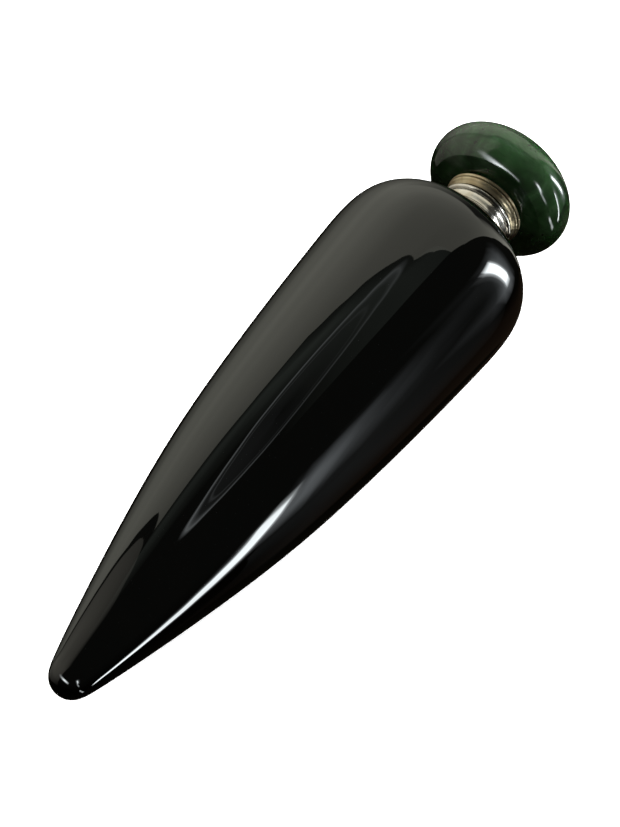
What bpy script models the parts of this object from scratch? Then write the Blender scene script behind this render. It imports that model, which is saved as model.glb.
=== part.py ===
"""A black stone perfume vial with a metal collar and a green stone stopper, lying on its side.

The vial is built standing on its tip, with its axis along local Z, and an empty lays it down:
+X runs from the tip towards the stopper, +Z is up, and the origin is on the resting plane under
the middle of the vial. Lengths are in metres.
"""

import math

import bmesh
import bpy

MM = 0.001

# How the vial lies: its axis rises towards the stopper, because its side slopes by as much
# under the centre of mass, where it touches the table.
AXIS_RISE = math.radians(3.6)
FLAT_DEPTH = 0.2 * MM

# Every piece is turned about the vial's axis with this many steps round.
TURN_STEPS = 48

# Stations are heights above the tip, measured along the axis.
NECK_STEP = 79.8 * MM
MOUTH = 82.1 * MM
KNOB_SEAT = 84.4 * MM
KNOB_MIDDLE = 87.4 * MM
KNOB_TOP = 92.0 * MM
PLUG_END = 77.0 * MM

# Radii and thicknesses.
SPIGOT_RADIUS = 3.5 * MM
BORE_RADIUS = 2.6 * MM
MOUTH_CHAMFER = 0.25 * MM
COLLAR_BORE = 3.8 * MM
PLUG_TOP_RADIUS = 2.3 * MM
PLUG_END_RADIUS = 2.0 * MM
PLUG_CHAMFER = 0.3 * MM
KNOB_RADIUS = 8.7 * MM
KNOB_ROUNDNESS = 2.2
KNOB_POINTS = 17

# Control points of two smooth outlines, each as (height, radius) in millimetres: the outside
# from the blunt tip over the shoulder to the neck, and the drilled hollow up to its bore.
OUTSIDE = [
    (0.0, 0.0),
    (0.0, 2.0),
    (2.7, 2.85),
    (10.8, 4.75),
    (21.6, 7.05),
    (34.2, 9.3),
    (46.8, 10.5),
    (57.6, 11.2),
    (66.2, 11.55),
    (72.2, 11.97),
    (75.8, 10.75),
    (78.2, 7.4),
    (78.4, 5.3),
    (78.9, 4.6),
    (79.8, 4.5),
]
OUTSIDE_POINTS = 38
HOLLOW = [
    (13.0, 0.0),
    (13.0, 1.8),
    (18.0, 3.2),
    (34.0, 6.0),
    (50.0, 7.5),
    (62.0, 8.2),
    (73.5, 8.4),
    (70.8, 3.3),
    (73.5, 2.6),
    (75.0, 2.6),
]
HOLLOW_POINTS = 15

# The collar's outer face from its top over its ridge to its foot, and the ferrule's from its
# rim to its waist, as (height, radius) in millimetres. There is a gap of about 0.3 mm between
# one piece and the next.
COLLAR_FACE = [
    (82.5, 4.3),
    (82.43, 4.47),
    (82.27, 4.53),
    (82.1, 4.46),
    (81.9, 4.33),
    (81.4, 4.36),
    (80.9, 4.33),
    (80.6, 4.38),
    (80.3, 4.46),
    (80.1, 4.46),
]
FERRULE_FACE = [
    (84.1, 4.6),
    (84.05, 4.72),
    (83.92, 4.76),
    (83.8, 4.68),
    (83.7, 4.6),
    (83.58, 4.67),
    (83.44, 4.68),
    (83.3, 4.55),
    (83.05, 4.34),
    (82.8, 4.27),
]

BLACK_STONE = (0.010, 0.010, 0.011)
WHITE_METAL = (0.83, 0.80, 0.75)
GREEN_STONE = (0.035, 0.085, 0.045)
STONE_ROUGHNESS = 0.08
METAL_ROUGHNESS = 0.15


def clear_scene():
    for obj in list(bpy.data.objects):
        bpy.data.objects.remove(obj, do_unlink=True)


def new_collection(name):
    collection = bpy.data.collections.new(name)
    bpy.context.scene.collection.children.link(collection)
    return collection


def polished(name, colour, roughness, metallic=0.0):
    """A Principled material in one colour."""
    material = bpy.data.materials.new(name)
    material.use_nodes = True
    shader = material.node_tree.nodes["Principled BSDF"]
    shader.inputs["Base Color"].default_value = (*colour, 1.0)
    shader.inputs["Roughness"].default_value = roughness
    shader.inputs["Metallic"].default_value = metallic
    return material


def smooth_outline(controls, count):
    """Points along a clamped cubic B-spline, as (radius, height) in metres, by de Boor's rule."""
    degree = 3
    spans = len(controls) - degree
    knots = [min(max(k - degree, 0), spans) for k in range(len(controls) + degree + 1)]
    points = []
    for step in range(count):
        place = spans * step / (count - 1)
        span = min(int(place), spans - 1) + degree
        local = [controls[span - degree + i] for i in range(degree + 1)]
        for level in range(1, degree + 1):
            for i in range(degree, level - 1, -1):
                low = knots[span - degree + i]
                high = knots[span + 1 + i - level]
                share = (place - low) / (high - low)
                local[i] = tuple(a + (b - a) * share for a, b in zip(local[i - 1], local[i]))
        height, radius = local[degree]
        points.append((radius * MM, height * MM))
    return points


def bun_outline():
    """The knob from its top to its seat: two half superellipses that meet at its middle."""
    power = 2.0 / KNOB_ROUNDNESS
    points = []
    for step in range(KNOB_POINTS):
        turn = math.pi * (0.5 - step / (KNOB_POINTS - 1))
        rise = math.copysign(abs(math.sin(turn)) ** power, turn)
        half = KNOB_TOP - KNOB_MIDDLE
        height = KNOB_MIDDLE + half * rise
        if height > KNOB_SEAT:
            points.append((KNOB_RADIUS * math.cos(turn) ** power, height))
    seat_rise = (KNOB_MIDDLE - KNOB_SEAT) / (KNOB_TOP - KNOB_MIDDLE)
    seat_radius = KNOB_RADIUS * (1.0 - seat_rise**KNOB_ROUNDNESS) ** (1.0 / KNOB_ROUNDNESS)
    return points + [(seat_radius, KNOB_SEAT), (0.0, KNOB_SEAT)]


def body_outline():
    """From the foot of the hollow up the bore, over the mouth and down the outside to the tip."""
    inside = smooth_outline(HOLLOW, HOLLOW_POINTS)
    mouth = [
        (BORE_RADIUS, MOUTH - MOUTH_CHAMFER),
        (BORE_RADIUS + MOUTH_CHAMFER, MOUTH),
        (SPIGOT_RADIUS - MOUTH_CHAMFER, MOUTH),
        (SPIGOT_RADIUS, MOUTH - MOUTH_CHAMFER),
        (SPIGOT_RADIUS, NECK_STEP),
    ]
    outside = smooth_outline(OUTSIDE, OUTSIDE_POINTS)
    return inside + mouth + outside[::-1]


def in_metres(face):
    return [(radius * MM, height * MM) for height, radius in face]


def collar_outline():
    """A closed ring: down the outer face and up the bore."""
    outer_face = in_metres(COLLAR_FACE)
    top = outer_face[0][1]
    foot = outer_face[-1][1]
    return outer_face + [(COLLAR_BORE, foot), (COLLAR_BORE, top)]


def ferrule_outline():
    """From the middle of the top over the band, in under it, and down the plug."""
    band = in_metres(FERRULE_FACE)
    top = band[0][1]
    foot = band[-1][1]
    plug = [
        (PLUG_TOP_RADIUS, foot),
        (PLUG_END_RADIUS, PLUG_END + PLUG_CHAMFER),
        (PLUG_END_RADIUS - PLUG_CHAMFER, PLUG_END),
        (0.0, PLUG_END),
    ]
    return [(0.0, top)] + band + plug


def turned(name, outline, closed, material, collection, axis):
    """Turn an outline of (radius, height) points about the vial's axis."""
    mesh = bpy.data.meshes.new(name)
    profile = bmesh.new()
    verts = [profile.verts.new((radius, 0.0, height)) for radius, height in outline]
    for start, end in zip(verts, verts[1:]):
        profile.edges.new((start, end))
    if closed:
        profile.edges.new((verts[-1], verts[0]))
    profile.to_mesh(mesh)
    profile.free()
    mesh.materials.append(material)
    obj = bpy.data.objects.new(name, mesh)
    collection.objects.link(obj)
    obj.parent = axis
    screw = obj.modifiers.new("Turn", "SCREW")
    screw.axis = "Z"
    screw.angle = 2.0 * math.pi
    screw.steps = TURN_STEPS
    screw.render_steps = TURN_STEPS
    screw.use_merge_vertices = True
    screw.merge_threshold = 0.001 * MM
    screw.use_smooth_shade = True
    return obj


def lay_down(outline, collection):
    """An empty on the vial's axis at its tip, laid down so that the flat is on the XY plane."""
    sine = math.sin(AXIS_RISE)
    cosine = math.cos(AXIS_RISE)
    underside = min(height * sine - radius * cosine for radius, height in outline)
    tip_end = min(height * cosine - radius * sine for radius, height in outline)
    knob_end = max(height * cosine + radius * sine for radius, height in bun_outline())
    axis = bpy.data.objects.new("vial_axis", None)
    axis.location = (-(tip_end + knob_end) / 2.0, 0.0, -underside - FLAT_DEPTH)
    axis.rotation_euler = (0.0, math.pi / 2.0 - AXIS_RISE, 0.0)
    collection.objects.link(axis)
    return axis


def cut_resting_flat(body, cutters):
    """Plane a shallow flat on the vial's underside, with a block whose top is the XY plane."""
    bpy.ops.mesh.primitive_cube_add(size=KNOB_TOP * 2.0, location=(0.0, 0.0, -KNOB_TOP))
    block = bpy.context.active_object
    block.name = "resting_flat_cutter"
    block.display_type = "WIRE"
    block.hide_render = True
    for collection in list(block.users_collection):
        collection.objects.unlink(block)
    cutters.objects.link(block)
    cut = body.modifiers.new("Resting flat", "BOOLEAN")
    cut.operation = "DIFFERENCE"
    cut.solver = "EXACT"
    cut.object = block


def main():
    clear_scene()
    vial = new_collection("perfume_vial")
    cutters = new_collection("perfume_vial_cutters")

    black_stone = polished("black_stone", BLACK_STONE, STONE_ROUGHNESS)
    white_metal = polished("white_metal", WHITE_METAL, METAL_ROUGHNESS, metallic=1.0)
    green_stone = polished("green_stone", GREEN_STONE, STONE_ROUGHNESS)

    outline = body_outline()
    axis = lay_down(outline, vial)
    body = turned("vial_body", outline, False, black_stone, vial, axis)
    turned("neck_collar", collar_outline(), True, white_metal, vial, axis)
    turned("stopper_ferrule", ferrule_outline(), False, white_metal, vial, axis)
    turned("stopper_knob", bun_outline(), False, green_stone, vial, axis)
    cut_resting_flat(body, cutters)


main()
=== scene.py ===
# %% [markdown]
# # A perfume vial of black stone, silver and jade
#
# The real vial is four pieces. A long black stone drop is drilled hollow and polished. A silver
# band sits on its short stone neck. A stopper closes it: a second metal band with a plug under
# it, and a bun of green jade on top. It lies on its side on a shallow flat.
#
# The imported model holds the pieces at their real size. This lesson gives each one a finer
# surface and a real finish, sets up a small studio, and leaves the sizes alone.

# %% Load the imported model
import math

import bpy
from mathutils import Matrix, Vector


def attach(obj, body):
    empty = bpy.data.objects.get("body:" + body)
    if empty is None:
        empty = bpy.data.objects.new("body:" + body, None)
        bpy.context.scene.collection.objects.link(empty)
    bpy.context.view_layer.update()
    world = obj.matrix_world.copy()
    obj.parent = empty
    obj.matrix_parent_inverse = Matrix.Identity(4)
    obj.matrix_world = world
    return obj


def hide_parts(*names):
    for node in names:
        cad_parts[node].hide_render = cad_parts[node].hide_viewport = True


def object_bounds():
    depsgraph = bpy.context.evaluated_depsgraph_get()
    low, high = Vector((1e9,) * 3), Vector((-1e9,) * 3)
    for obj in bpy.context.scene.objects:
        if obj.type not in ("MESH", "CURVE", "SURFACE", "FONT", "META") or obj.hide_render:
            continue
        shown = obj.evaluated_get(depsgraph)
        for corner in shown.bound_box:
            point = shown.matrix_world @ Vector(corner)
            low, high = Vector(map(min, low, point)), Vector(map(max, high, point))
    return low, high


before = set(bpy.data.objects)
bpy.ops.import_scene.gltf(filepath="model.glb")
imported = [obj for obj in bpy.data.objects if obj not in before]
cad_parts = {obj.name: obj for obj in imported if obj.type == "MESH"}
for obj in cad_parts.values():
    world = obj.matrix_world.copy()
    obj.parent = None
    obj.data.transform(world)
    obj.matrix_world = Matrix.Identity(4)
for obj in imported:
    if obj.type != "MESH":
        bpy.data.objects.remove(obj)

MM = 0.001
cad_low, cad_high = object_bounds()
print("packed model, mm:", [round(side / MM, 2) for side in cad_high - cad_low])

# %% [markdown]
# ## Outlines
#
# A stone turner works from one side view, because a round piece looks the same from every side.
# So each piece here starts as half of its side view: a line of points, each with a height above
# the vial's tip and a distance from its axis. A few control points pull a smooth curve into
# shape, which is easier to change than hundreds of points, and the curve has no corners that a
# mirror polish would show up.

# %% A smooth line through the pull of a few control points
def smooth_outline(controls, count):
    """Points along a clamped cubic B-spline, as (radius, height) in metres, by de Boor's rule."""
    degree = 3
    spans = len(controls) - degree
    knots = [min(max(k - degree, 0), spans) for k in range(len(controls) + degree + 1)]
    points = []
    for step in range(count):
        place = spans * step / (count - 1)
        span = min(int(place), spans - 1) + degree
        local = [controls[span - degree + i] for i in range(degree + 1)]
        for level in range(1, degree + 1):
            for i in range(degree, level - 1, -1):
                low = knots[span - degree + i]
                high = knots[span + 1 + i - level]
                share = (place - low) / (high - low)
                local[i] = tuple(a + (b - a) * share for a, b in zip(local[i - 1], local[i]))
        height, radius = local[degree]
        points.append((radius * MM, height * MM))
    return points

# %% [markdown]
# ### The stone drop
#
# One outline runs all the way round the wall: from the foot of the drilled hollow up the bore,
# over the mouth, and down the outside to the tip. Both ends of the line lie on the axis, so the
# turned surface closes by itself and the wall has its true thickness.

# %% The drop's outline
# Control points as (height, radius) in millimetres.
DROP_OUTSIDE = [
    (0.0, 0.0), (0.0, 2.0), (2.7, 2.85), (10.8, 4.75), (21.6, 7.05), (34.2, 9.3), (46.8, 10.5),
    (57.6, 11.22), (66.2, 11.65), (72.2, 11.88), (75.8, 10.75), (78.2, 7.4), (78.4, 5.3),
    (78.9, 4.6), (79.8, 4.5),
]
DROP_HOLLOW = [
    (13.0, 0.0), (13.0, 1.8), (18.0, 3.2), (34.0, 6.0), (50.0, 7.5), (62.0, 8.2), (73.5, 8.4),
    (70.8, 3.3), (73.5, 2.6), (75.0, 2.6),
]
MOUTH = 82.1 * MM
NECK_STEP = 79.8 * MM
SPIGOT_RADIUS = 3.5 * MM
BORE_RADIUS = 2.6 * MM
MOUTH_CHAMFER = 0.25 * MM


def drop_outline():
    mouth = [
        (BORE_RADIUS, MOUTH - MOUTH_CHAMFER),
        (BORE_RADIUS + MOUTH_CHAMFER, MOUTH),
        (SPIGOT_RADIUS - MOUTH_CHAMFER, MOUTH),
        (SPIGOT_RADIUS, MOUTH - MOUTH_CHAMFER),
        (SPIGOT_RADIUS, NECK_STEP),
    ]
    return smooth_outline(DROP_HOLLOW, 48) + mouth + smooth_outline(DROP_OUTSIDE, 200)[::-1]


drop = drop_outline()
print("drop:", len(drop), "points, widest", round(2 * max(r for r, h in drop) / MM, 2), "mm")

# %% [markdown]
# ### The two metal bands
#
# A silversmith spins a band from sheet, then runs a burnisher into it, which leaves soft beads
# and hollows and no sharp step. The collar has a plain swelling band with a rolled ridge along
# its upper edge. The ferrule starts a little narrower than the ridge, opens like a trumpet, and
# ends in two fine beads round its rim. The plug under it is a slightly tapered peg.

# %% The bands' outlines
COLLAR_BORE = 3.8 * MM
COLLAR_FACE = [
    (82.5, 4.1), (82.5, 4.34), (82.46, 4.5), (82.34, 4.58), (82.2, 4.54), (82.08, 4.38),
    (82.0, 4.32), (81.85, 4.36), (81.5, 4.38), (81.1, 4.34), (80.8, 4.33), (80.62, 4.38),
    (80.52, 4.36), (80.44, 4.34), (80.36, 4.42), (80.28, 4.4), (80.2, 4.46), (80.14, 4.5),
    (80.1, 4.44), (80.1, 4.2),
]
FERRULE_TOP = 84.1 * MM
FERRULE_FOOT = 82.8 * MM
FERRULE_FACE = [
    (84.1, 4.4), (84.1, 4.62), (84.07, 4.76), (83.96, 4.8), (83.84, 4.74), (83.74, 4.56),
    (83.66, 4.52), (83.6, 4.64), (83.5, 4.72), (83.4, 4.68), (83.28, 4.5), (83.1, 4.36),
    (82.95, 4.3), (82.84, 4.28), (82.8, 4.24), (82.8, 4.05),
]
PLUG_END = 77.0 * MM
PLUG_TOP_RADIUS = 2.3 * MM
PLUG_END_RADIUS = 2.0 * MM
PLUG_CHAMFER = 0.3 * MM


def collar_outline():
    """A closed ring: down the outer face, and up the bore back to the first point."""
    face = smooth_outline(COLLAR_FACE, 80)
    return face + [(COLLAR_BORE, face[-1][1]), (COLLAR_BORE, face[0][1]), face[0]]


def ferrule_outline():
    """From the middle of the top over the rim, in under the band and down the plug."""
    plug = [
        (PLUG_TOP_RADIUS, FERRULE_FOOT),
        (PLUG_END_RADIUS, PLUG_END + PLUG_CHAMFER),
        (PLUG_END_RADIUS - PLUG_CHAMFER, PLUG_END),
        (0.0, PLUG_END),
    ]
    return [(0.0, FERRULE_TOP)] + smooth_outline(FERRULE_FACE, 60) + plug


collar = collar_outline()
ferrule = ferrule_outline()
print("collar:", len(collar), "points; ferrule:", len(ferrule), "points")

# %% [markdown]
# ### The jade bun
#
# A bun is rounder than a coin and flatter than a ball. A superellipse draws that family of
# shapes with one number for its roundness: 2 is an ellipse, and more makes the sides fuller. Its
# middle lies below half its height, so the top is a little taller than the underside, which is
# cut flat where it sits on the ferrule.

# %% The bun's outline
KNOB_SEAT = 84.4 * MM
KNOB_MIDDLE = 87.4 * MM
KNOB_TOP = 92.0 * MM
KNOB_RADIUS = 8.7 * MM
KNOB_ROUNDNESS = 2.2
KNOB_POINTS = 97


def bun_outline():
    """From the top down to the seat, and in to the axis."""
    power = 2.0 / KNOB_ROUNDNESS
    points = []
    for step in range(KNOB_POINTS):
        angle = math.pi * (0.5 - step / (KNOB_POINTS - 1))
        rise = math.copysign(abs(math.sin(angle)) ** power, angle)
        height = KNOB_MIDDLE + (KNOB_TOP - KNOB_MIDDLE) * rise
        if height > KNOB_SEAT:
            points.append((KNOB_RADIUS * math.cos(angle) ** power, height))
    seat_rise = (KNOB_MIDDLE - KNOB_SEAT) / (KNOB_TOP - KNOB_MIDDLE)
    seat_radius = KNOB_RADIUS * (1.0 - seat_rise**KNOB_ROUNDNESS) ** (1.0 / KNOB_ROUNDNESS)
    return points + [(seat_radius, KNOB_SEAT), (0.0, KNOB_SEAT)]


bun = bun_outline()
print("bun:", len(bun), "points, seat", round(2 * bun[-2][0] / MM, 2), "mm across")

# %% [markdown]
# ## Where the axis lies
#
# The vial lies down, so its axis is nearly level. It rises a little towards the stopper, by the
# slope of the side that it rests on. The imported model's box says where it lies: its left end is
# the tip, and its top is the widest part of the drop.

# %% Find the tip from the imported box
AXIS_RISE = math.radians(3.6)
sine = math.sin(AXIS_RISE)
cosine = math.cos(AXIS_RISE)
tip_reach = min(height * cosine - radius * sine for radius, height in drop)
top_reach = max(height * sine + radius * cosine for radius, height in drop)
tip = Vector((cad_low.x - tip_reach, 0.0, cad_high.z - top_reach))
print("tip of the axis, mm:", [round(value / MM, 2) for value in tip])

# %% [markdown]
# ## A lathe made of nodes
#
# All four pieces are turned round one axis, so one Geometry Nodes tree serves them all. The
# Screw modifier could turn the outlines too, but a tree can do the rest of the maker's work in
# the same breath: it lets the hand-ground surface wander by a hundredth of a millimetre or so,
# lays the piece down, and rubs the resting flat on its underside.
#
# The tree makes a grid with one column for each step round and one row for each outline point.
# Every grid point looks up its outline point by its row and turns it by its column. The last
# column lands on the first, and the rows at the axis shrink to a point, so a merge closes the
# seam and the poles. A flip turns the faces outwards. The column and the distance run along the
# outline are kept as the map "turning", which finishes can follow round the piece. How deep a
# point lies in a hollow of its outline is kept as "hollow", for tarnish and painted shade in the
# grooves.

# %% Helpers for building node trees
def add(tree, kind, **settings):
    """A new node with its settings."""
    node = tree.nodes.new(kind)
    for name, value in settings.items():
        setattr(node, name, value)
    return node


def fill(tree, socket, source):
    """Fill one input from another node's socket, or from a plain value."""
    if isinstance(source, bpy.types.NodeSocket):
        tree.links.new(source, socket)
    else:
        socket.default_value = source


def feed(tree, node, **sources):
    """Fill a node's inputs by their names, with _ for a space."""
    for name, source in sources.items():
        fill(tree, node.inputs[name.replace("_", " ")], source)
    return node


def maths(tree, operation, *sources, kind="ShaderNodeMath"):
    """One sum: its result socket."""
    node = add(tree, kind, operation=operation)
    for socket, source in zip(node.inputs, sources):
        fill(tree, socket, source)
    return node.outputs[0]

# %% The lathe's first step: turn the outline
def turned_outline(tree, given):
    """The turned grid, with a node that keeps its place on the turning map and its hollows."""
    rows = add(tree, "GeometryNodeAttributeDomainSize")
    feed(tree, rows, Geometry=given["Outline"])
    rows = rows.outputs["Point Count"]
    columns = maths(tree, "ADD", given["Steps"], 1, kind="FunctionNodeIntegerMath")
    grid = add(tree, "GeometryNodeMeshGrid")
    feed(tree, grid, Vertices_X=columns, Vertices_Y=rows)
    index = add(tree, "GeometryNodeInputIndex").outputs[0]
    row = maths(tree, "MODULO", index, rows, kind="FunctionNodeIntegerMath")
    column = maths(tree, "DIVIDE", index, rows, kind="FunctionNodeIntegerMath")
    share = maths(tree, "DIVIDE", column, given["Steps"])

    def looked_up(kind, value):
        node = add(tree, "GeometryNodeSampleIndex", data_type=kind)
        feed(tree, node, Geometry=given["Outline"], Value=value, Index=row)
        return node.outputs[0]

    def noted(name):
        node = add(tree, "GeometryNodeInputNamedAttribute", data_type="FLOAT")
        return feed(tree, node, Name=name).outputs[0]

    turning = add(tree, "ShaderNodeCombineXYZ")
    feed(tree, turning, X=share, Y=looked_up("FLOAT", noted("run")))
    kept = add(tree, "GeometryNodeCaptureAttribute", domain="POINT")
    kept.capture_items.new("VECTOR", "turning")
    kept.capture_items.new("FLOAT", "hollow")
    feed(tree, kept, Geometry=grid.outputs["Mesh"], turning=turning.outputs[0])
    feed(tree, kept, hollow=looked_up("FLOAT", noted("hollow")))

    drawn = looked_up("FLOAT_VECTOR", add(tree, "GeometryNodeInputPosition").outputs[0])
    angle = maths(tree, "MULTIPLY", share, 2.0 * math.pi)
    turned = add(tree, "ShaderNodeVectorRotate", rotation_type="Z_AXIS")
    feed(tree, turned, Vector=drawn, Angle=angle)
    shaped = add(tree, "GeometryNodeSetPosition")
    feed(tree, shaped, Geometry=kept.outputs["Geometry"], Position=turned.outputs[0])
    return shaped.outputs[0], kept

# %% The lathe's other steps: grind by hand, close, lay down, rub flat
MERGE_DISTANCE = 0.001 * MM


def ground_by_hand(tree, given, piece):
    """Take a little off the radius in slow swells, as a share of it."""
    place = add(tree, "GeometryNodeInputPosition").outputs[0]
    swells = add(tree, "ShaderNodeTexNoise")
    feed(tree, swells, Vector=place, Scale=given["Wander scale"], Detail=1.0)
    taken_off = maths(tree, "MULTIPLY", swells.outputs["Fac"], given["Wander"])
    left = maths(tree, "SUBTRACT", 1.0, taken_off)
    squeeze = add(tree, "ShaderNodeCombineXYZ")
    feed(tree, squeeze, X=left, Y=left, Z=1.0)
    wandered = maths(tree, "MULTIPLY", place, squeeze.outputs[0], kind="ShaderNodeVectorMath")
    ground = add(tree, "GeometryNodeSetPosition")
    feed(tree, ground, Geometry=piece, Position=wandered)
    return ground.outputs[0]


def closed_up(tree, piece, kept):
    """Store what was kept, merge the seam and the poles, and turn the faces outwards."""
    mapped = add(tree, "GeometryNodeStoreNamedAttribute", data_type="FLOAT2", domain="CORNER")
    feed(tree, mapped, Geometry=piece, Name="turning", Value=kept.outputs["turning"])
    marked = add(tree, "GeometryNodeStoreNamedAttribute", data_type="FLOAT", domain="POINT")
    feed(tree, marked, Geometry=mapped.outputs[0], Name="hollow", Value=kept.outputs["hollow"])
    closed = add(tree, "GeometryNodeMergeByDistance")
    feed(tree, closed, Geometry=marked.outputs[0], Distance=MERGE_DISTANCE)
    outwards = add(tree, "GeometryNodeFlipFaces")
    feed(tree, outwards, Mesh=closed.outputs[0])
    return outwards.outputs[0]


def laid_down(tree, given, piece):
    lean = add(tree, "ShaderNodeCombineXYZ")
    feed(tree, lean, Y=maths(tree, "SUBTRACT", math.pi / 2.0, given["Axis rise"]))
    laid = add(tree, "GeometryNodeTransform")
    feed(tree, laid, Geometry=piece, Translation=given["Tip"], Rotation=lean.outputs[0])
    return laid.outputs[0]


def rubbed_flat(tree, given, piece):
    """Lift what lies below the table up to it, which leaves the resting flat."""
    height = add(tree, "ShaderNodeSeparateXYZ")
    feed(tree, height, Vector=add(tree, "GeometryNodeInputPosition").outputs[0])
    above = maths(tree, "MAXIMUM", height.outputs["Z"], given["Table height"])
    lifted = add(tree, "ShaderNodeCombineXYZ")
    feed(tree, lifted, X=height.outputs["X"], Y=height.outputs["Y"], Z=above)
    rested = add(tree, "GeometryNodeSetPosition")
    feed(tree, rested, Geometry=piece, Position=lifted.outputs[0])
    return rested.outputs[0]

# %% The whole lathe
LATHE_INPUTS = {
    "Outline": "NodeSocketGeometry",
    "Steps": "NodeSocketInt",
    "Wander": "NodeSocketFloat",
    "Wander scale": "NodeSocketFloat",
    "Axis rise": "NodeSocketFloat",
    "Tip": "NodeSocketVector",
    "Table height": "NodeSocketFloat",
    "Finish": "NodeSocketMaterial",
}


def lathe_tree():
    tree = bpy.data.node_groups.new("lathe", "GeometryNodeTree")
    for name, kind in LATHE_INPUTS.items():
        tree.interface.new_socket(name, in_out="INPUT", socket_type=kind)
    tree.interface.new_socket("Piece", in_out="OUTPUT", socket_type="NodeSocketGeometry")
    given = add(tree, "NodeGroupInput").outputs

    piece, kept = turned_outline(tree, given)
    piece = ground_by_hand(tree, given, piece)
    piece = closed_up(tree, piece, kept)
    piece = laid_down(tree, given, piece)
    piece = rubbed_flat(tree, given, piece)

    smooth = add(tree, "GeometryNodeSetShadeSmooth")
    feed(tree, smooth, Geometry=piece)
    real = add(tree, "GeometryNodeRealizeInstances")
    feed(tree, real, Geometry=smooth.outputs[0])
    finished = add(tree, "GeometryNodeSetMaterial")
    feed(tree, finished, Geometry=real.outputs[0], Material=given["Finish"])
    tree.links.new(finished.outputs[0], add(tree, "NodeGroupOutput").inputs[0])
    return tree


lathe = lathe_tree()
print("the lathe has", len(lathe.nodes), "nodes")

# %% Turn an outline into a finished mesh
# A point lies in a hollow by as much as the mean radius this far to both sides is over its own.
HOLLOW_REACH = 0.4 * MM


def outline_mesh(name, outline):
    """The outline as a line of edges in the XZ plane, with its run and its hollows noted."""
    mesh = bpy.data.meshes.new(name)
    points = [(radius, 0.0, height) for radius, height in outline]
    mesh.from_pydata(points, [(i, i + 1) for i in range(len(points) - 1)], [])
    run = [0.0]
    for before, after in zip(points, points[1:]):
        run.append(run[-1] + math.dist(before, after))
    hollow = []
    for here, (radius, height) in zip(run, outline):
        near = [r for there, (r, h) in zip(run, outline) if abs(there - here) < HOLLOW_REACH]
        hollow.append((sum(near) / len(near) - radius) / MM)
    mesh.attributes.new("run", "FLOAT", "POINT").data.foreach_set("value", run)
    mesh.attributes.new("hollow", "FLOAT", "POINT").data.foreach_set("value", hollow)
    return mesh


def turn(name, outline, finish, steps, wander=0.0, wander_scale=1.0, table_height=-1.0):
    """A plain mesh object, turned on the lathe and laid down with its place in its mesh.

    A piece that touches no table is turned with the table far below it.
    """
    piece = bpy.data.objects.new(name, outline_mesh(name, outline))
    bpy.context.scene.collection.objects.link(piece)
    modifier = piece.modifiers.new("Lathe", "NODES")
    modifier.node_group = lathe
    settings = {
        "Steps": steps,
        "Wander": wander,
        "Wander scale": wander_scale,
        "Axis rise": AXIS_RISE,
        "Tip": tip,
        "Table height": table_height,
        "Finish": finish,
    }
    for socket in lathe.interface.items_tree:
        if socket.name in settings:
            modifier[socket.identifier] = settings[socket.name]
    made = bpy.data.meshes.new_from_object(
        piece.evaluated_get(bpy.context.evaluated_depsgraph_get())
    )
    made.name = name
    piece.modifiers.remove(modifier)
    piece.data = made
    print(name, len(made.vertices), "points,", len(made.polygons), "faces")
    return piece

# %% [markdown]
# ## The finishes
#
# Polished stone and metal show very little of their own colour and a great deal of the room, so
# most of the work is in what disturbs the reflection: a polish that is not quite even, hair
# scratches, and a surface that wanders. Everything is made from noise in the object's own space,
# or along the "turning" map where a tool went round the piece, and from the "hollow" marks.

# %% Helpers for the finishes
def new_finish(name):
    """A new material, its node tree and its Principled shader."""
    material = bpy.data.materials.new(name)
    material.use_nodes = True
    tree = material.node_tree
    return material, tree, tree.nodes["Principled BSDF"]


def noise(tree, where, scale, detail=2.0, distortion=0.0):
    node = add(tree, "ShaderNodeTexNoise")
    feed(tree, node, Vector=where, Scale=scale, Detail=detail, Distortion=distortion)
    return node.outputs["Fac"]


def spread(tree, value, low, high, new_low, new_high):
    """Map a value from one range to another, held at both ends."""
    node = add(tree, "ShaderNodeMapRange")
    feed(tree, node, Value=value, From_Min=low, From_Max=high, To_Min=new_low, To_Max=new_high)
    return node.outputs["Result"]


def blend_colours(tree, share, first, second):
    """The first colour where the share is 0, and the second where it is 1."""
    node = add(tree, "ShaderNodeMix", data_type="RGBA")
    sources = {"Factor": share, "A": first, "B": second}
    for socket in node.inputs:
        if socket.enabled and socket.name in sources:
            fill(tree, socket, sources[socket.name])
    return next(socket for socket in node.outputs if socket.enabled)


def stretched(tree, where, x, y, z):
    """Coordinates scaled by a different amount along each axis."""
    node = add(tree, "ShaderNodeMapping")
    feed(tree, node, Vector=where, Scale=(x, y, z))
    return node.outputs[0]


def bumped(tree, height, depth):
    """The surface's normal over bumps of this depth."""
    node = add(tree, "ShaderNodeBump")
    feed(tree, node, Height=height, Distance=depth)
    return node.outputs["Normal"]

# %% [markdown]
# ### Black stone
#
# Onyx of this kind is almost as dark as soot. Faint brown clouds run through it, which only show
# where no light is reflected. The polish is a mirror, with cloudy patches where fingers have
# dulled it and hair scratches along its length.

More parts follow.
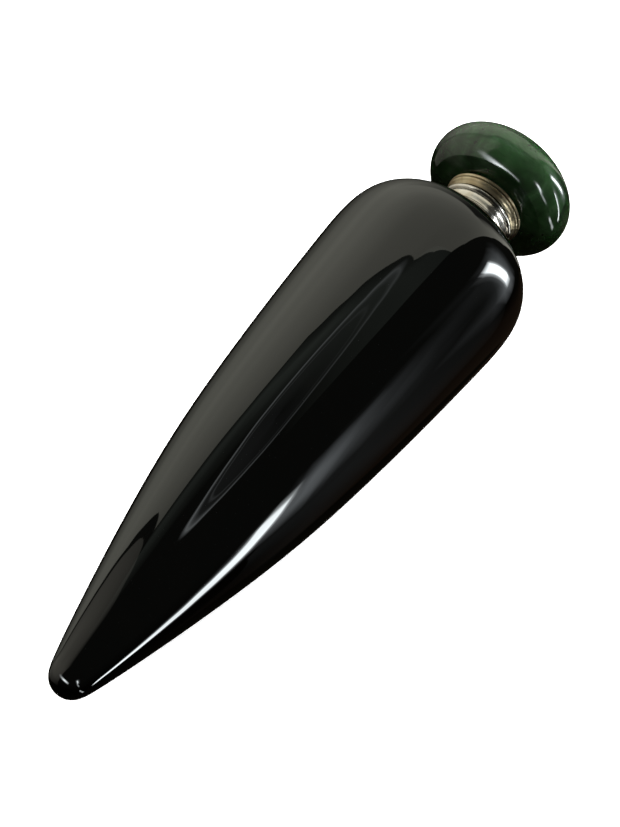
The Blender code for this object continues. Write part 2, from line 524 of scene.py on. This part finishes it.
# %% Black stone
def black_stone_finish():
    material, tree, shader = new_finish("polished_black_stone")
    where = add(tree, "ShaderNodeTexCoord").outputs["Object"]
    clouds = noise(tree, where, 90.0, detail=5.0, distortion=1.5)
    soot = (0.0008, 0.0009, 0.0008, 1.0)
    umber = (0.0016, 0.0014, 0.0011, 1.0)
    colour = blend_colours(tree, spread(tree, clouds, 0.45, 0.75, 0.0, 1.0), soot, umber)
    dulled = spread(tree, noise(tree, where, 70.0, detail=3.0), 0.35, 0.75, 0.012, 0.03)
    hairs = noise(tree, stretched(tree, where, 90.0, 1400.0, 1400.0), 1.0, detail=2.0)
    scratched = spread(tree, hairs, 0.66, 0.74, 0.0, 0.03)
    feed(tree, shader, Base_Color=colour, Roughness=maths(tree, "ADD", dulled, scratched))
    feed(tree, shader, IOR=1.54)
    ripple = noise(tree, where, 160.0, detail=1.0)
    feed(tree, shader, Normal=bumped(tree, ripple, 0.01 * MM))
    return material


black_stone = black_stone_finish()

# %% [markdown]
# ### Silver
#
# The bands were spun and burnished, so their marks run round them. On the "turning" map that is
# the first coordinate, and a noise that is stretched along it gives lines that circle the piece.
# Air yellows silver in patches. In the hollows that the lathe marked, the colour is darkened,
# partly as tarnish where a cloth doesn't reach and partly as painted shade in the grooves. The
# ferrule is duller than the collar, and has more of a brown-gold bloom.

# %% Silver
TARNISH_AND_GROOVE_SHADE = (0.07, 0.05, 0.025, 1.0)


def silver_finish(name, bright, bloom, bloom_share, dullness):
    material, tree, shader = new_finish(name)
    round_it = add(tree, "ShaderNodeUVMap", uv_map="turning").outputs[0]
    where = add(tree, "ShaderNodeTexCoord").outputs["Object"]
    lines = noise(tree, stretched(tree, round_it, 14.0, 16000.0, 1.0), 1.0, detail=3.0)
    patches = noise(tree, where, 500.0, detail=4.0, distortion=0.6)
    stain = spread(tree, patches, 0.5 - bloom_share, 0.5 + bloom_share, 0.0, 1.0)
    # Darker in the hollows: partly tarnish, partly painted shade in the grooves between the beads.
    hollow = add(tree, "ShaderNodeAttribute", attribute_name="hollow").outputs["Fac"]
    tarnish_and_groove_shade = spread(tree, hollow, -0.03, 0.1, 0.0, 0.9)
    colour = blend_colours(tree, stain, bright, bloom)
    colour = blend_colours(tree, tarnish_and_groove_shade, colour, TARNISH_AND_GROOVE_SHADE)
    feed(tree, shader, Base_Color=colour, Metallic=1.0)
    feed(tree, shader, Roughness=spread(tree, lines, 0.3, 0.7, dullness, dullness + 0.1))
    feed(tree, shader, Normal=bumped(tree, lines, 0.003 * MM))
    return material


SILVER = (0.95, 0.93, 0.90, 1.0)
YELLOWED = (0.66, 0.58, 0.46, 1.0)
GILDED = (0.86, 0.76, 0.52, 1.0)
UMBER_BLOOM = (0.40, 0.28, 0.15, 1.0)
collar_silver = silver_finish("burnished_silver", SILVER, YELLOWED, 0.2, 0.1)
ferrule_silver = silver_finish("yellowed_silver", GILDED, UMBER_BLOOM, 0.25, 0.28)

# %% [markdown]
# ### Jade
#
# Spinach jade is a felt of green crystals, with paler clouds, darker threads and a few black
# flecks. Light goes a little way into it before it comes back, so the shader spreads it by about
# a millimetre. The noises for the clouds and the threads are distorted, which gives them torn
# edges, rather than round blobs.

# %% Jade
def jade_finish():
    material, tree, shader = new_finish("green_jade")
    where = add(tree, "ShaderNodeTexCoord").outputs["Object"]
    clouds = noise(tree, where, 150.0, detail=6.0, distortion=1.2)
    threads = noise(tree, stretched(tree, where, 1.0, 0.35, 1.0), 420.0, detail=5.0, distortion=2.5)
    flecks = noise(tree, where, 900.0, detail=2.0)
    deep = (0.009, 0.026, 0.008, 1.0)
    leaf = (0.022, 0.058, 0.021, 1.0)
    milk = (0.050, 0.090, 0.048, 1.0)
    black = (0.002, 0.004, 0.0015, 1.0)
    colour = blend_colours(tree, spread(tree, clouds, 0.38, 0.58, 0.0, 1.0), deep, leaf)
    colour = blend_colours(tree, spread(tree, clouds, 0.56, 0.76, 0.0, 0.9), colour, milk)
    colour = blend_colours(tree, spread(tree, threads, 0.57, 0.72, 0.0, 0.6), colour, deep)
    colour = blend_colours(tree, spread(tree, flecks, 0.7, 0.76, 0.0, 0.8), colour, black)
    feed(tree, shader, Base_Color=colour, IOR=1.61)
    feed(tree, shader, Roughness=spread(tree, threads, 0.35, 0.7, 0.07, 0.12))
    feed(tree, shader, Subsurface_Weight=0.25, Subsurface_Scale=1.0 * MM)
    shader.inputs["Subsurface Radius"].default_value = (0.4, 1.0, 0.4)
    feed(tree, shader, Normal=bumped(tree, noise(tree, where, 260.0), 0.01 * MM))
    return material


green_jade = jade_finish()

# %% [markdown]
# ## The four pieces
#
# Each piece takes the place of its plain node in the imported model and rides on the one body.
# The spun bands are true, and the two stones, ground by hand, wander a little. Only the drop
# touches the table.

# %% Turn the four pieces
DROP_STEPS = 192
SMALL_STEPS = 160
DROP_WANDER = 0.0015
DROP_WANDER_SCALE = 55.0
BUN_WANDER = 0.002
BUN_WANDER_SCALE = 90.0


def dress(piece, node):
    """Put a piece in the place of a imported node."""
    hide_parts(node)
    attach(piece, "root")


stone_drop = turn(
    "stone_drop", drop, black_stone, DROP_STEPS, DROP_WANDER, DROP_WANDER_SCALE, table_height=0.0
)
silver_collar = turn("silver_collar", collar, collar_silver, SMALL_STEPS)
stopper_band = turn("stopper_band", ferrule, ferrule_silver, SMALL_STEPS)
jade_bun = turn("jade_bun", bun, green_jade, SMALL_STEPS, BUN_WANDER, BUN_WANDER_SCALE)
dress(stone_drop, "vial_body")
dress(silver_collar, "neck_collar")
dress(stopper_band, "stopper_ferrule")
dress(jade_bun, "stopper_knob")

# %% [markdown]
# ## The studio
#
# A mirror-black thing can only be lit by what it mirrors. So the studio is a dark room with a
# few glowing sheets, each a softbox or a strip light seen from the vial in one direction. Sheets
# are given by directions, an azimuth round from +X towards +Y and an elevation, and stand far
# enough off to look the same from every part of the vial. Each corner has its own level of
# light, so a sheet can be bright in its middle and fade away at an edge, as cloth in front of a
# lamp does. The sheets are clear, so where two overlap their light adds up. The floor is pale
# and the air above it is white, but neither shows in the mirror.

# %% Directions and glowing sheets
STUDIO_RADIUS = 2.0
middle = (cad_low + cad_high) / 2.0


def direction(azimuth, elevation):
    """A unit vector from the vial, by angles in degrees."""
    a = math.radians(azimuth)
    e = math.radians(elevation)
    return Vector((math.cos(e) * math.cos(a), math.cos(e) * math.sin(a), math.sin(e)))


def glow(name, colour, strength):
    """A clear glowing material, dimmed or raised by the mesh's own "level" attribute."""
    material = bpy.data.materials.new(name)
    material.use_nodes = True
    tree = material.node_tree
    tree.nodes.clear()
    level = add(tree, "ShaderNodeAttribute", attribute_name="level")
    lamp = add(tree, "ShaderNodeEmission")
    feed(tree, lamp, Color=(*colour, 1.0))
    feed(tree, lamp, Strength=maths(tree, "MULTIPLY", level.outputs["Fac"], strength))
    both = add(tree, "ShaderNodeAddShader")
    tree.links.new(lamp.outputs[0], both.inputs[0])
    tree.links.new(add(tree, "ShaderNodeBsdfTransparent").outputs[0], both.inputs[1])
    tree.links.new(both.outputs[0], add(tree, "ShaderNodeOutputMaterial").inputs["Surface"])
    return material


def glowing_sheet(name, rails, colour, strength, closed=False):
    """A sheet between rails, each a list of (direction, level of light)."""
    across = len(rails[0])
    reach = across if closed else across - 1
    points = [middle + towards * STUDIO_RADIUS for rail in rails for towards, level in rail]
    faces = []
    for row in range(len(rails) - 1):
        for column in range(reach):
            a = row * across + column
            b = row * across + (column + 1) % across
            faces.append((a, b, b + across, a + across))
    mesh = bpy.data.meshes.new(name)
    mesh.from_pydata(points, [], faces)
    levels = [level for rail in rails for towards, level in rail]
    mesh.attributes.new("level", "FLOAT", "POINT").data.foreach_set("value", levels)
    mesh.materials.append(glow(name, colour, strength))
    sheet = bpy.data.objects.new(name, mesh)
    bpy.context.scene.collection.objects.link(sheet)
    sheet.visible_camera = False
    sheet.visible_diffuse = False


def softbox(name, rows, colour, strength):
    """A sheet from rows of (azimuth, elevation, level of light), top row first."""
    rails = [[(direction(az, el), level) for az, el, level in row] for row in rows]
    glowing_sheet(name, rails, colour, strength)


# The level of light across a strip, as (share of its reach from the middle, level): a lamp with a
# bright core, and a bell of light on a wall.
LAMP = (
    (-1.0, 0.0), (-0.7, 0.02), (-0.5, 0.25), (-0.36, 1.0), (0.36, 1.0), (0.5, 0.25), (0.7, 0.02),
    (1.0, 0.0),
)
BELL = ((-1.0, 0.0), (-0.7, 0.15), (-0.35, 0.7), (0.0, 1.0), (0.35, 0.7), (0.7, 0.15), (1.0, 0.0))


def strip(name, line, reach, section, colour, strength):
    """A light along a line of (azimuth, elevation, level), which fades to both sides."""
    middles = [direction(az, el) for az, el, level in line]
    rails = []
    for share, dimming in section:
        swing = math.radians(share * reach)
        rail = []
        for i, towards in enumerate(middles):
            along = middles[min(i + 1, len(line) - 1)] - middles[max(i - 1, 0)]
            side = towards.cross(along).normalized()
            level = line[i][2] * dimming
            rail.append((towards * math.cos(swing) + side * math.sin(swing), level))
        rails.append(rail)
    glowing_sheet(name, rails, colour, strength)

# %% [markdown]
# ### The softboxes
#
# A large one hangs over the far side and gives the long pale shape on the stone. Its lower edge
# fades out, but its left edge runs on downwards as a brighter lobe. A dimmer one stands beside
# it with a narrow gap between them, and the ceiling gives back a little light above them both.

# %% The softboxes
WARM_GREY = (1.0, 1.0, 0.86)
CREAM = (1.0, 0.97, 0.84)
CEILING_GREEN = (0.85, 1.0, 0.88)

softbox(
    "big_softbox",
    [
        [(74, 54.5, 0.7), (45, 55.6, 0.8), (28, 60.2, 0.8), (14, 62.4, 0.8),
         (-4, 62.6, 0.8), (-18, 61.2, 0.75), (-32, 56.3, 0.75), (-43.5, 46.8, 0.75)],
        [(74, 42, 0.85), (47, 42, 1.0), (22, 42, 0.95), (8, 42, 0.95),
         (-6, 42, 0.9), (-18, 42, 0.85), (-30, 41, 0.8), (-41.5, 40, 0.8)],
        [(75, 25, 0.9), (45, 25, 1.1), (21, 25, 1.0), (6, 25, 0.95),
         (-7, 25, 0.9), (-17, 25, 0.9), (-25, 25, 0.95), (-32, 25, 1.0)],
        [(75, 12, 0.85), (45, 10, 0.85), (20, 11, 0.75), (4, 15, 0.85),
         (-7, 19, 0.95), (-15, 17, 0.95), (-21, 14, 1.1), (-27, 13, 1.2)],
        [(75, 10, 0.8), (45, 7, 0.8), (21, 8, 0.3), (3, 13, 0.03),
         (-7, 16.5, 0.03), (-13, 14, 0.6), (-18, 11, 1.1), (-25, 10, 1.25)],
        [(75, -2, 0.6), (45, -4, 0.4), (26, -5, 0.3), (6, -6, 0.0),
         (-7, -6, 0.0), (-11, -6, 0.6), (-14, -6, 1.2), (-18, -6, 1.3)],
        [(75, -12, 0.3), (45, -16, 0.15), (29, -18, 0.1), (10, -20, 0.0),
         (-1, -20, 0.0), (-4, -20, 0.6), (-6, -20, 1.1), (-8, -19, 1.2)],
        [(75, -24, 0.05), (45, -30, 0.0), (30, -32, 0.0), (16, -34, 0.0),
         (11, -34, 0.0), (8, -34, 0.4), (6, -34, 0.7), (4, -33, 0.7)],
    ],
    WARM_GREY,
    0.95,
)
softbox(
    "side_softbox",
    [
        [(76, 80, 0.1), (84, 81, 0.1), (100, 82, 0.1), (125, 80, 0.1), (155, 76, 0.0)],
        [(76, 70, 0.4), (84, 71, 0.6), (100, 72, 0.6), (125, 70, 0.55), (150, 66, 0.4)],
        [(75.5, 52, 0.45), (81, 52, 0.75), (100, 52, 0.95), (125, 52, 0.95), (150, 54, 0.7)],
        [(75.7, 28, 0.5), (81, 28, 0.9), (100, 28, 1.0), (125, 28, 1.0), (152, 28, 0.7)],
        [(76.5, 5, 0.5), (81, 5, 0.85), (100, 5, 0.85), (125, 5, 0.8), (152, 5, 0.5)],
        [(77, -10, 0.4), (81, -10, 0.5), (100, -10, 0.45), (125, -12, 0.4), (150, -12, 0.2)],
        [(78, -30, 0.2), (84, -30, 0.3), (100, -30, 0.2), (125, -30, 0.1), (150, -30, 0.0)],
    ],
    CREAM,
    0.7,
)
softbox(
    "ceiling_bounce",
    [
        [(95, 77, 0.0), (60, 76, 0.0), (30, 75, 0.0),
         (12, 73, 0.0), (-18, 71, 0.0), (-60, 57, 0.0)],
        [(80, 67, 0.3), (50, 67, 0.3), (29, 68, 0.3),
         (14, 67, 0.3), (-14, 67, 0.3), (-52, 54, 0.2)],
        [(76, 59, 0.6), (48, 60, 0.8), (29, 63, 0.9),
         (14, 64.4, 0.6), (-17, 63, 0.5), (-46, 50, 0.5)],
        [(74, 54.5, 0.0), (45, 55.6, 0.1), (28, 60.2, 0.1),
         (14, 62.4, 0.1), (-18, 61.2, 0.2), (-43.5, 46.8, 0.3)],
    ],
    CEILING_GREEN,
    0.3,
)

# %% [markdown]
# ### The strip lights
#
# Two bare strip lamps on stands draw the thin bright lines, each with a soft haze on the wall
# beside it. One stands so that the round shoulder gathers it into a short highlight. The other
# runs far down past the horizon, so that its line reaches the tip. Three more lamps stand beyond
# the tip. The jade mirrors them as short strokes, and the tip as small lights. A wall and the
# floor give a little light back from below.

# %% The strip lights
COOL_GREY = (0.92, 0.98, 1.0)
HAZE_BLUE = (0.88, 0.95, 1.0)
FLOOR_UMBER = (1.0, 0.6, 0.4)

strip(
    "shoulder_strip",
    [(-52, 16, 0.0), (-51.5, 12, 0.9), (-50, 8, 1.0), (-48.5, 4, 1.0),
     (-45.5, -4, 1.0), (-43.5, -9, 1.0), (-42.5, -13, 0.4), (-41.5, -17, 0.0)],
    6.0,
    LAMP,
    COOL_GREY,
    22.0,
)
strip(
    "shoulder_strip_haze",
    [(-47, 22, 0.0), (-46, 13, 0.6), (-45, 6, 1.0),
     (-43, -6, 1.0), (-42, -16, 1.2), (-38, -26, 0.0)],
    14.0,
    BELL,
    HAZE_BLUE,
    1.2,
)
strip(
    "side_strip",
    [(-71, 4, 0.0), (-72, 0, 0.25), (-72.5, -3, 1.0), (-73, -16, 1.0),
     (-73, -26, 0.8), (-73.5, -33, 1.0), (-75, -38, 1.0), (-77, -41, 0.0)],
    3.4,
    LAMP,
    COOL_GREY,
    18.0,
)
strip(
    "side_strip_haze",
    [(-60, 12, 0.0), (-63, 3, 0.3), (-65, -5, 0.8),
     (-66, -12, 0.7), (-67, -19, 0.1), (-67, -25, 0.0)],
    9.0,
    BELL,
    HAZE_BLUE,
    0.6,
)
strip(
    "side_strip_glow",
    [(-65, 10, 0.0), (-66.5, 5, 0.5), (-68, -2, 1.0), (-69, -12, 0.9), (-69.5, -24, 0.0)],
    6.0,
    BELL,
    HAZE_BLUE,
    1.4,
)
strip(
    "tip_lamp",
    [(138, 31, 0.0), (152, 26, 0.15), (164, 22.5, 0.4),
     (175, 18.5, 1.0), (187, 13, 0.7), (197, 6, 0.1)],
    9.0,
    BELL,
    COOL_GREY,
    24.0,
)
strip(
    "far_lamp",
    [(-120, 21, 0.0), (-120, 17, 1.0), (-119, 11, 1.0),
     (-121, 3, 0.3), (-118, -6, 0.4), (-115, -14, 0.0)],
    5.0,
    LAMP,
    COOL_GREY,
    13.0,
)
strip(
    "far_lamp_cloth",
    [(-121, 25, 0.0), (-120, 18, 1.0), (-119, 10, 1.0), (-120, 3, 0.0)],
    9.0,
    BELL,
    COOL_GREY,
    2.5,
)
strip(
    "far_low_lamp",
    [(-112, -31, 0.0), (-110, -36, 1.0), (-103, -43, 0.4), (-97, -48, 0.8), (-90, -53, 0.0)],
    4.0,
    LAMP,
    COOL_GREY,
    9.0,
)
softbox(
    "low_wall_haze",
    [
        [(-68, -6, 0.0), (-60, -6, 0.2), (-50, -8, 0.0)],
        [(-70, -16, 0.4), (-60, -16, 0.8), (-46, -18, 0.1)],
        [(-68, -28, 0.7), (-58, -28, 1.0), (-42, -32, 0.1)],
        [(-60, -42, 0.1), (-52, -42, 0.4), (-36, -46, 0.1)],
        [(-48, -56, 0.0), (-40, -56, 0.0), (-28, -58, 0.0)],
    ],
    COOL_GREY,
    0.1,
)
softbox(
    "floor_bounce",
    [
        [(-60, -30, 0.0), (-35, -28, 0.2), (-10, -28, 0.2), (12, -28, 0.0)],
        [(-60, -42, 0.3), (-35, -38, 1.0), (-10, -36, 0.9), (20, -38, 0.3)],
        [(-50, -56, 0.2), (-30, -52, 0.8), (-5, -50, 0.8), (24, -52, 0.5)],
    ],
    FLOOR_UMBER,
    0.025,
)

# %% [markdown]
# ### The hoop
#
# The hoop is an oval ring of light that hangs level overhead, brighter along one side. Its numbers
# are on a ceiling one unit above the vial: X and Y of its middle, its two half widths and its turn.
# A dimmer ring inside it is the edge of its frame, and the cloth across it is nearly black.

# %% The hoop
HOOP_MIDDLE = Vector((0.308, -0.14, 1.0))
HOOP_HALF_LENGTH = 0.275
HOOP_HALF_WIDTH = 0.186
HOOP_TURN = math.radians(73.0)
HOOP_SECTION = (
    (1.06, 0.0), (1.02, 0.5), (1.0, 1.0), (0.96, 0.4), (0.91, 0.07), (0.84, 0.05), (0.8, 0.25),
    (0.76, 0.05), (0.02, 0.04),
)
HOOP_ROUND = 96
HOOP_MEAN_LEVEL = 0.62
HOOP_LEVEL_SWING = 0.38
HOOP_STRENGTH = 1.9


def hoop():
    rails = []
    for size, level in HOOP_SECTION:
        rail = []
        for step in range(HOOP_ROUND):
            angle = 2.0 * math.pi * step / HOOP_ROUND
            x = HOOP_HALF_LENGTH * math.cos(angle)
            y = HOOP_HALF_WIDTH * math.sin(angle)
            oval = Vector((x, y, 0.0))
            oval.rotate(Matrix.Rotation(HOOP_TURN, 3, "Z"))
            towards = (HOOP_MIDDLE + oval * size).normalized()
            share = HOOP_MEAN_LEVEL + HOOP_LEVEL_SWING * math.sin(angle)
            rail.append((towards, level * share))
        rails.append(rail)
    glowing_sheet("overhead_hoop", rails, COOL_GREY, HOOP_STRENGTH, closed=True)


hoop()

# %% [markdown]
# ### The floor and the air
#
# The floor is a plain pale disc. The air is split three ways. To the eye it is white. In a mirror
# it is nearly black, and umber below. And the soft light that fills the stone comes mostly from
# one side, which leaves the far side of the jade in the dark.

# %% The floor and the air
FLOOR_RADIUS = 6.0
FLOOR_PALE = (0.97, 0.97, 0.97, 1.0)
FLOOR_GLOW = 0.5
WHITE = (1.0, 1.0, 1.0, 1.0)


def pale_floor():
    bpy.ops.mesh.primitive_circle_add(vertices=96, radius=FLOOR_RADIUS, fill_type="NGON")
    floor = bpy.context.active_object
    floor.name = "floor"
    material, tree, shader = new_finish("pale_floor")
    feed(tree, shader, Base_Color=FLOOR_PALE, Roughness=0.8)
    feed(tree, shader, Emission_Color=WHITE, Emission_Strength=FLOOR_GLOW)
    floor.data.materials.append(material)
    floor.visible_glossy = False
    floor.visible_diffuse = False


MIRRORED_BELOW = (0.006, 0.005, 0.003, 1.0)
MIRRORED_ABOVE = (0.036, 0.038, 0.033, 1.0)
SOFT_LIGHT_FROM = direction(-20, 48)
SOFT_LIGHT_STRENGTH = 7.0
SHADED_SIDE = (0.01, 0.008, 0.005, 1.0)


def white_air():
    world = bpy.data.worlds.new("studio_air")
    bpy.context.scene.world = world
    world.use_nodes = True
    tree = world.node_tree
    tree.nodes.clear()
    towards = add(tree, "ShaderNodeTexCoord").outputs["Generated"]
    height = add(tree, "ShaderNodeSeparateXYZ")
    feed(tree, height, Vector=towards)
    above = spread(tree, height.outputs["Z"], -0.5, 0.1, 0.0, 1.0)
    mirrored = blend_colours(tree, above, MIRRORED_BELOW, MIRRORED_ABOVE)
    facing = add(tree, "ShaderNodeVectorMath", operation="DOT_PRODUCT")
    tree.links.new(towards, facing.inputs[0])
    facing.inputs[1].default_value = SOFT_LIGHT_FROM
    lit_side = spread(tree, facing.outputs["Value"], 0.2, 1.0, 0.0, 1.0)
    soft = blend_colours(tree, lit_side, SHADED_SIDE, WHITE)
    ray = add(tree, "ShaderNodeLightPath")
    seen = blend_colours(tree, ray.outputs["Is Camera Ray"], soft, WHITE)
    seen = blend_colours(tree, ray.outputs["Is Glossy Ray"], seen, mirrored)
    strength = spread(tree, ray.outputs["Is Diffuse Ray"], 0.0, 1.0, 1.0, SOFT_LIGHT_STRENGTH)
    air = add(tree, "ShaderNodeBackground")
    feed(tree, air, Color=seen, Strength=strength)
    tree.links.new(air.outputs[0], add(tree, "ShaderNodeOutputWorld").inputs["Surface"])


pale_floor()
white_air()

# %% [markdown]
# ## The camera
#
# A long lens from well above shows the vial pointing down and to the left, with the stopper
# away from us. The numbers are a direction, a distance and a point to look at.

# %% The camera
VIEW_AZIMUTH = -146.88
VIEW_ELEVATION = 43.6
VIEW_DISTANCE = 652.2 * MM
VIEW_LENS = 261.2
VIEW_AIM = Vector((0.31, -1.19, -0.54)) * MM


def place_camera():
    camera = bpy.data.objects.new("camera", bpy.data.cameras.new("camera"))
    bpy.context.scene.collection.objects.link(camera)
    back = direction(VIEW_AZIMUTH, VIEW_ELEVATION)
    camera.location = middle + VIEW_AIM + back * VIEW_DISTANCE
    camera.rotation_euler = (-back).to_track_quat("-Z", "Y").to_euler()
    camera.data.lens = VIEW_LENS
    camera.data.clip_start = 0.01
    camera.data.clip_end = 20.0
    bpy.context.scene.camera = camera


place_camera()
bpy.context.scene.view_settings.view_transform = "Standard"
